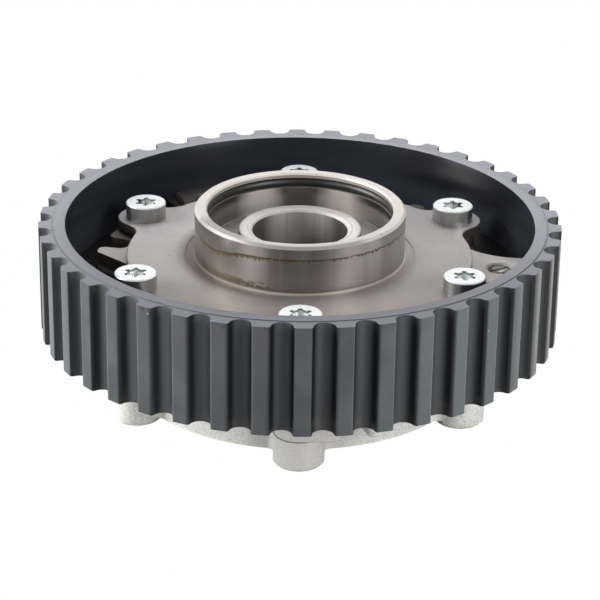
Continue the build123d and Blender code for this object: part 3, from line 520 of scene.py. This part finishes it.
def cover_material():
    g = Graph("cover_sintered_steel", metallic=0.6, roughness=0.45)
    front = g.step(g.y, 20.0, -44.0)
    left = g.step(g.x, -5.0, -20.0)
    level = g.step(g.up, 0.3, 0.6)
    streaks = g.noise(1.0, 4.0, g.round_vector(6.0, 0.02), 0.6)
    off_front = g.turn_from(FRONT, streaks, 7.0)
    in_bore = g.step(g.radius, COLLAR_WALL_RADIUS + 0.1, COLLAR_WALL_RADIUS)
    collar = collar_outside_colour(g, streaks, off_front, left)
    collar = g.paint(collar, in_bore, collar_bore_colour(g, streaks))
    collar = g.paint(collar, level, collar_top_colour(g, off_front, front))
    within_collar = g.step(g.radius, COLLAR_RADIUS + 0.06, COLLAR_RADIUS + 0.02)
    on_collar = g.all_of(within_collar, g.step(g.z, RELIEF_FLOOR + 0.02, RELIEF_FLOOR + 0.1))
    g.colour(g.mix(on_collar, plate_colour(g, front, left), collar))
    g.roughness(g.mix_number(on_collar, 0.5, g.mix_number(level, 0.32, 0.42)))
    g.bump(g.noise(3.5, 3.0), 0.12, 0.04)
    return g.material


# Screws

def screw_end_colour(g, off_lobe):
    """The ends of the lobes' screws in painted rings of shade and a painted light ring, with a painted
    highlight beside the slot that shows.
    """
    end = g.mix(g.noise(1.2, 3.0), srgb(120, 122, 117), srgb(180, 182, 175))
    # Painted shade rings, and a painted light ring at the hole's mouth
    shade_rings = g.any_of(g.band(off_lobe, 2.05, 2.2, 0.08), g.band(off_lobe, 2.45, 2.7, 0.08))
    end = g.paint(end, shade_rings, srgb(30, 28, 27))
    lit_outer_ring = g.step(off_lobe, 2.74, 2.8)
    end = g.paint(end, lit_outer_ring, srgb(176, 170, 164))
    turn = math.radians(LOBE_ANGLE)
    slant = math.radians(SLOT_ANGLE)
    from_x = g.math("SUBTRACT", g.x, PULLEY_SCREW_CIRCLE_RADIUS * math.cos(turn))
    from_y = g.math("SUBTRACT", g.y, PULLEY_SCREW_CIRCLE_RADIUS * math.sin(turn))
    off_slot = g.math("MULTIPLY", from_x, -math.sin(slant))
    off_slot = g.math("MULTIPLY_ADD", from_y, math.cos(slant), off_slot)
    # Painted highlight beside the slot
    slot_highlight = g.all_of(g.band(off_slot, -1.15, -0.45, 0.1), g.step(off_lobe, 2.1, 2.0))
    return g.paint(end, slot_highlight, srgb(222, 220, 214))


def zinc_material():
    g = Graph("zinc_plate", metallic=0.6, roughness=0.26)
    head = g.mix(g.noise(0.8, 3.0), srgb(228, 232, 233), srgb(248, 250, 251))
    # The heads' sides painted darker than their tops as shade, darkest at the front
    side = g.mix(g.step(g.y, -10.0, 10.0), srgb(140, 141, 138), srgb(170, 171, 169))
    colour = g.mix(g.step(g.up, 0.3, 0.8), side, head)
    # Painted light in the sockets
    off_screw = g.off_axis(SCREW_CIRCLE_RADIUS, SCREW_FIRST_ANGLE, SCREW_COUNT)
    socket = g.all_of(g.step(off_screw, 3.1, 3.0), g.step(g.z, SCREW_TOP - 0.55, SCREW_TOP - 0.65))
    colour = g.paint(colour, socket, srgb(240, 246, 243))
    # Painted shade on the heads' outer sides, with a ragged edge
    uneven_radius = g.math("ADD", g.radius, g.math("MULTIPLY", g.noise(0.8, 2.0), 1.2))
    outer = g.step(uneven_radius, SCREW_CIRCLE_RADIUS + 1.8, SCREW_CIRCLE_RADIUS + 2.6)
    outer_side_shade = g.all_of(outer, g.step(g.up, 0.3, 0.1))
    colour = g.paint(colour, outer_side_shade, srgb(74, 75, 82), 0.85)
    off_lobe = g.off_axis(PULLEY_SCREW_CIRCLE_RADIUS, LOBE_ANGLE, LOBE_COUNT)
    g.colour(g.paint(colour, g.step(off_lobe, 3.4, 3.2), screw_end_colour(g, off_lobe)))
    g.bump(g.noise(4.0, 3.0), 0.1, 0.03)
    return g.material


# Front cover and stator

def rough_cast_colour(g):
    """Pale cast metal with dark and light grains, shaded on the boss at the front."""
    cast = g.mix(g.noise(0.12, 4.0), srgb(200, 199, 194), srgb(213, 213, 209))
    grains = g.noise(1.9, 5.0, roughness=0.75)
    cast = g.paint(cast, g.step(grains, 0.52, 0.62), srgb(158, 156, 148), 0.6)
    cast = g.paint(cast, g.step(grains, 0.46, 0.36), srgb(240, 240, 237), 0.6)
    front_boss = g.all_of(g.step(g.y, -34.0, -46.0), g.step(g.math("ABSOLUTE", g.x), 14.0, 9.0))
    return g.paint(cast, front_boss, srgb(172, 170, 166), 0.6)


def star_colour(g):
    """The stator's star above the web: a finished top with painted shadow behind and on the small tooth,
    browner sides.
    """
    front = g.step(g.y, 30.0, -30.0)
    top = g.mix(front, srgb(172, 170, 167), srgb(168, 160, 154))
    # Painted shadow on the star behind and on the small tooth
    behind = g.step(g.y, 28.0, 34.0)
    top = g.paint(top, behind, srgb(60, 58, 55))
    small_tooth_shadow = g.all_of(g.band(g.angle, 153.0, 164.0, 1.0), g.step(g.radius, 43.0, 44.0))
    top = g.paint(top, small_tooth_shadow, srgb(86, 82, 79))
    side = g.mix(g.step(g.x, 0.0, -20.0), srgb(112, 106, 98), srgb(112, 104, 92))
    hole_mouth = g.step(g.off_axis(PULLEY_SCREW_CIRCLE_RADIUS, LOBE_ANGLE, LOBE_COUNT), 3.75, 3.65)
    return g.mix(g.any_of(g.step(g.up, 0.4, 0.8), hole_mouth), side, top)


def cast_aluminium_material():
    g = Graph("cast_aluminium", metallic=0.15, roughness=0.5)
    on_star = g.step(g.z, WEB_TOP + 0.55, WEB_TOP + 1.55)
    colour = g.mix(on_star, rough_cast_colour(g), star_colour(g))
    seam = g.line(g.z, STATOR_BOTTOM, 0.22)
    g.colour(g.paint(colour, seam, srgb(84, 80, 72), 0.75))
    g.bump(g.noise(2.2, 4.0), 0.25, 0.08)
    return g.material


# Rotor

def hub_ring_colour(g):
    """The hub's light ring with painted shade at the back, and a darker line round the bore."""
    ring = g.mix(g.noise(0.9, 3.0), srgb(186, 182, 178), srgb(204, 200, 196))
    # Painted shade on the back of the ring
    ring = g.paint(ring, g.step(g.y, 2.0, 13.0), srgb(146, 142, 139), 0.85)
    bore_line = g.line(g.radius, ROTOR_BORE_RADIUS + 1.12, 0.22)
    return g.paint(ring, bore_line, srgb(96, 90, 86), 0.55)


def rotor_material():
    g = Graph("rotor_steel", metallic=0.35, roughness=0.55)
    level = g.step(g.up, 0.4, 0.7)
    streaks = g.noise(1.0, 3.0, g.round_vector(8.0, 0.03))
    dull = g.mix(streaks, srgb(122, 115, 110), srgb(154, 147, 142))
    in_bore = g.step(g.radius, ROTOR_BORE_RADIUS + 0.47, ROTOR_BORE_RADIUS + 0.27)
    # Painted shade on the bore's sides
    bore_shade = g.all_of(g.step(g.turn_from(BACK), 26.0, 56.0), in_bore)
    bore_side = g.mix(g.step(g.x, -3.0, 3.0), srgb(56, 52, 50), srgb(26, 24, 23))
    dull = g.paint(dull, bore_shade, bore_side, 0.9)
    on_ring = g.all_of(g.step(g.radius, HUB_RING_RADIUS + 0.07, HUB_RING_RADIUS - 0.03), level)
    colour = g.mix(on_ring, dull, hub_ring_colour(g))
    # Painted light on the edge at the journal's radius
    journal_edge_light = g.all_of(g.band(g.radius, JOURNAL_RADIUS - 0.5, JOURNAL_RADIUS + 0.15, 0.1), level)
    g.colour(g.paint(colour, journal_edge_light, srgb(255, 252, 248)))
    g.bump(g.noise(3.0, 2.0), 0.1, 0.03)
    return g.material


# Small parts

def plain_steel_material(name, dark, light, roughness):
    g = Graph(name, metallic=0.85, roughness=roughness)
    g.colour(g.mix(g.noise(0.9, 3.0), dark, light))
    g.bump(g.noise(3.5, 3.0), 0.1, 0.03)
    return g.material


def rubber_material():
    g = Graph("black_rubber", roughness=0.45)
    g.colour(g.mix(g.noise(1.4, 3.0), srgb(12, 12, 12), srgb(26, 26, 25)))
    g.bump(g.noise(5.0, 2.0), 0.15, 0.03)
    return g.material


def plastic_material(name, dark, light):
    g = Graph(name, roughness=0.55)
    g.colour(g.mix(g.noise(0.8, 3.0), dark, light))
    g.bump(g.noise(4.0, 2.0), 0.15, 0.03)
    return g.material


MATERIALS = {
    "pulley_steel": pulley_material(),
    "cover_steel": cover_material(),
    "cast_aluminium": cast_aluminium_material(),
    "rotor_steel": rotor_material(),
    "black_rubber": rubber_material(),
    "plug_steel": plain_steel_material("plug_steel", srgb(150, 150, 148), srgb(182, 182, 180), 0.35),
    "zinc_screws": zinc_material(),
    "hard_steel": plain_steel_material("hard_steel", srgb(120, 120, 124), srgb(158, 158, 162), 0.25),
    "spring_steel": plain_steel_material("spring_steel", srgb(86, 86, 90), srgb(120, 120, 124), 0.3),
    "seat_plastic": plastic_material("seat_plastic", srgb(30, 30, 32), srgb(44, 44, 46)),
    "seal_plastic": plastic_material("seal_plastic", srgb(66, 54, 42), srgb(84, 70, 56)),
}


# CAD nodes keep their shape and get their slot's material, small broken edges and smooth round faces

EDGE_BREAK_MM = {"belt_pulley": 0.12, "stator": 0.25, "front_cover": 0.3, "rotor": 0.15}
BREAK_ABOVE_DEGREES = 35.0
SMOOTH_BELOW_DEGREES = 25.0
FLAT_BELOW_DEGREES = 0.5
WELD_MM = 0.002


def smooth_by_angle():
    """A node group that shades a mesh smooth, except across edges sharper than the limit."""
    group = bpy.data.node_groups.new("smooth_by_angle", "GeometryNodeTree")
    group.interface.new_socket("Geometry", in_out="INPUT", socket_type="NodeSocketGeometry")
    group.interface.new_socket("Geometry", in_out="OUTPUT", socket_type="NodeSocketGeometry")
    start = group.nodes.new("NodeGroupInput")
    end = group.nodes.new("NodeGroupOutput")
    faces = group.nodes.new("GeometryNodeSetShadeSmooth")
    edges = group.nodes.new("GeometryNodeSetShadeSmooth")
    angle = group.nodes.new("GeometryNodeInputMeshEdgeAngle")
    gentle = group.nodes.new("FunctionNodeCompare")
    faces.domain = "FACE"
    edges.domain = "EDGE"
    gentle.operation = "LESS_THAN"
    gentle.inputs[1].default_value = math.radians(SMOOTH_BELOW_DEGREES)
    group.links.new(angle.outputs["Unsigned Angle"], gentle.inputs[0])
    group.links.new(gentle.outputs[0], edges.inputs["Shade Smooth"])
    group.links.new(start.outputs[0], faces.inputs[0])
    group.links.new(faces.outputs[0], edges.inputs[0])
    group.links.new(edges.outputs[0], end.inputs[0])
    return group


SMOOTH = smooth_by_angle()


def dress(node, slot_name):
    obj = nodes[node]
    obj.data.materials.clear()
    obj.data.materials.append(MATERIALS[slot_name])
    weld = obj.modifiers.new("weld", "WELD")
    weld.merge_threshold = WELD_MM * MM
    flat = obj.modifiers.new("flat", "DECIMATE")
    flat.decimate_type = "DISSOLVE"
    flat.angle_limit = math.radians(FLAT_BELOW_DEGREES)
    if node in EDGE_BREAK_MM:
        edges = obj.modifiers.new("edges", "BEVEL")
        edges.width = EDGE_BREAK_MM[node] * MM
        edges.segments = 1
        edges.limit_method = "ANGLE"
        edges.angle_limit = math.radians(BREAK_ABOVE_DEGREES)
    obj.modifiers.new("smooth", "NODES").node_group = SMOOTH


for part in frame["record"]["subparts"]:
    dress(part["node"], part["material_slot"])


# Floor and lights, in metres

FLOOR_SIZE = 6.0
FLOOR_GAP = 0.0005
FLOOR_BOUNCE = 0.42
WORLD_SHADE = {"From Min": -0.7, "From Max": 0.7, "To Min": 0.0, "To Max": 0.7}
LAMP_DISTANCE = 1.0
# Name, azimuth and elevation in degrees, width and height, power in watts
SOFTBOXES = (
    ("overhead", 67, 67, (0.8, 0.5), 6.1),
    ("left", 180, 20, (0.4, 0.7), 19.0),
    ("front_left", -140, 20, (0.4, 0.7), 3.5),
    ("right", -45, 20, (0.4, 0.7), 11.0),
)


def direction(azimuth, elevation):
    """The unit vector that points to an azimuth and elevation in degrees."""
    turn = math.radians(azimuth)
    rise = math.radians(elevation)
    return Vector((math.cos(rise) * math.cos(turn), math.cos(rise) * math.sin(turn), math.sin(rise)))


def add_floor():
    """White to the camera, and grey to the light that falls on it."""
    bpy.ops.mesh.primitive_plane_add(size=FLOOR_SIZE, location=(0, 0, -FLOOR_GAP))
    floor = bpy.context.object
    floor.name = "floor"
    material = bpy.data.materials.new("floor_white")
    material.use_nodes = True
    tree = material.node_tree
    tree.nodes.clear()
    output = tree.nodes.new("ShaderNodeOutputMaterial")
    mix = tree.nodes.new("ShaderNodeMixShader")
    diffuse = tree.nodes.new("ShaderNodeBsdfDiffuse")
    white = tree.nodes.new("ShaderNodeEmission")
    rays = tree.nodes.new("ShaderNodeLightPath")
    diffuse.inputs["Color"].default_value = (FLOOR_BOUNCE, FLOOR_BOUNCE, FLOOR_BOUNCE, 1.0)
    tree.links.new(rays.outputs["Is Camera Ray"], mix.inputs[0])
    tree.links.new(diffuse.outputs[0], mix.inputs[1])
    tree.links.new(white.outputs[0], mix.inputs[2])
    tree.links.new(mix.outputs[0], output.inputs["Surface"])
    floor.data.materials.append(material)


def add_world():
    """White to the camera; its light comes from behind the object and from above, as in a studio."""
    world = bpy.data.worlds.new("studio")
    bpy.context.scene.world = world
    world.use_nodes = True
    tree = world.node_tree
    background = tree.nodes["Background"]
    coordinates = tree.nodes.new("ShaderNodeTexCoord")
    parts = tree.nodes.new("ShaderNodeSeparateXYZ")
    tree.links.new(coordinates.outputs["Generated"], parts.inputs[0])
    shade = tree.nodes.new("ShaderNodeMapRange")
    shade.interpolation_type = "SMOOTHSTEP"
    for name, value in WORLD_SHADE.items():
        shade.inputs[name].default_value = value
    tree.links.new(parts.outputs[1], shade.inputs["Value"])
    rays = tree.nodes.new("ShaderNodeLightPath")
    seen = tree.nodes.new("ShaderNodeMix")
    seen.data_type = "FLOAT"
    seen.inputs[3].default_value = 1.0
    tree.links.new(rays.outputs["Is Camera Ray"], seen.inputs[0])
    tree.links.new(shade.outputs["Result"], seen.inputs[2])
    background.inputs["Color"].default_value = (1.0, 1.0, 1.0, 1.0)
    tree.links.new(seen.outputs[0], background.inputs["Strength"])


def add_softbox(name, azimuth, elevation, size, power):
    light = bpy.data.lights.new(name, "AREA")
    light.shape = "RECTANGLE"
    light.size, light.size_y = size
    light.energy = power
    lamp = bpy.data.objects.new(name, light)
    bpy.context.scene.collection.objects.link(lamp)
    lamp.location = direction(azimuth, elevation) * LAMP_DISTANCE
    lamp.rotation_euler = (-lamp.location).to_track_quat("-Z", "Y").to_euler()


def add_camera():
    data = bpy.data.cameras.new("camera")
    data.lens = CAMERA_LENS
    data.sensor_width = CAMERA_SENSOR
    camera = bpy.data.objects.new("camera", data)
    bpy.context.scene.collection.objects.link(camera)
    azimuth = math.radians(CAMERA_AZIMUTH)
    roll = math.radians(CAMERA_ROLL)
    back = direction(CAMERA_AZIMUTH, CAMERA_ELEVATION)
    right = Vector((-math.sin(azimuth), math.cos(azimuth), 0.0))
    up = back.cross(right)
    rolled_right = right * math.cos(roll) + up * math.sin(roll)
    rolled_up = up * math.cos(roll) - right * math.sin(roll)
    turn = Matrix((rolled_right, rolled_up, back)).transposed()
    place = (Vector(CAMERA_AIM) + back * CAMERA_DISTANCE) * MM
    camera.matrix_world = Matrix.Translation(place) @ turn.to_4x4()
    bpy.context.scene.camera = camera


add_floor()
add_world()
for softbox in SOFTBOXES:
    add_softbox(*softbox)
add_camera()
bpy.context.scene.view_settings.view_transform = "Standard"
